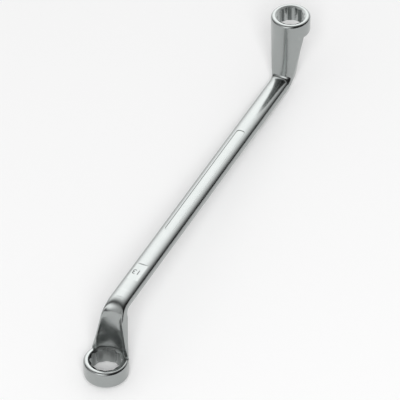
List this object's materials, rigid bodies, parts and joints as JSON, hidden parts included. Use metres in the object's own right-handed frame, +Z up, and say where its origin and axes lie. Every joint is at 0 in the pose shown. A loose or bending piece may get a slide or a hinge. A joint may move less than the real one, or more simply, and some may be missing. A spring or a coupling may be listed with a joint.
{
  "type": "offset ring spanner",
  "caption": "Double-ended offset ring spanner: two twelve-point ring heads on tapering scooped necks, one below and one above a straight oval handle.",
  "frame": {"origin": "bottom centre of the bounding box, on the surface that the tool lies on", "axes": "+X along the tool from the 13 mm ring to the 12 mm ring, +Z up from the surface that it lies on"},
  "size_m": [0.2244, 0.0206, 0.0352],
  "materials": {
    "chrome": "satin"
  },
  "bodies": {
    "root": {"ring_13": "chrome", "neck_13": "chrome", "handle": "chrome", "neck_12": "chrome", "ring_12": "chrome"}
  },
  "joints": []
}
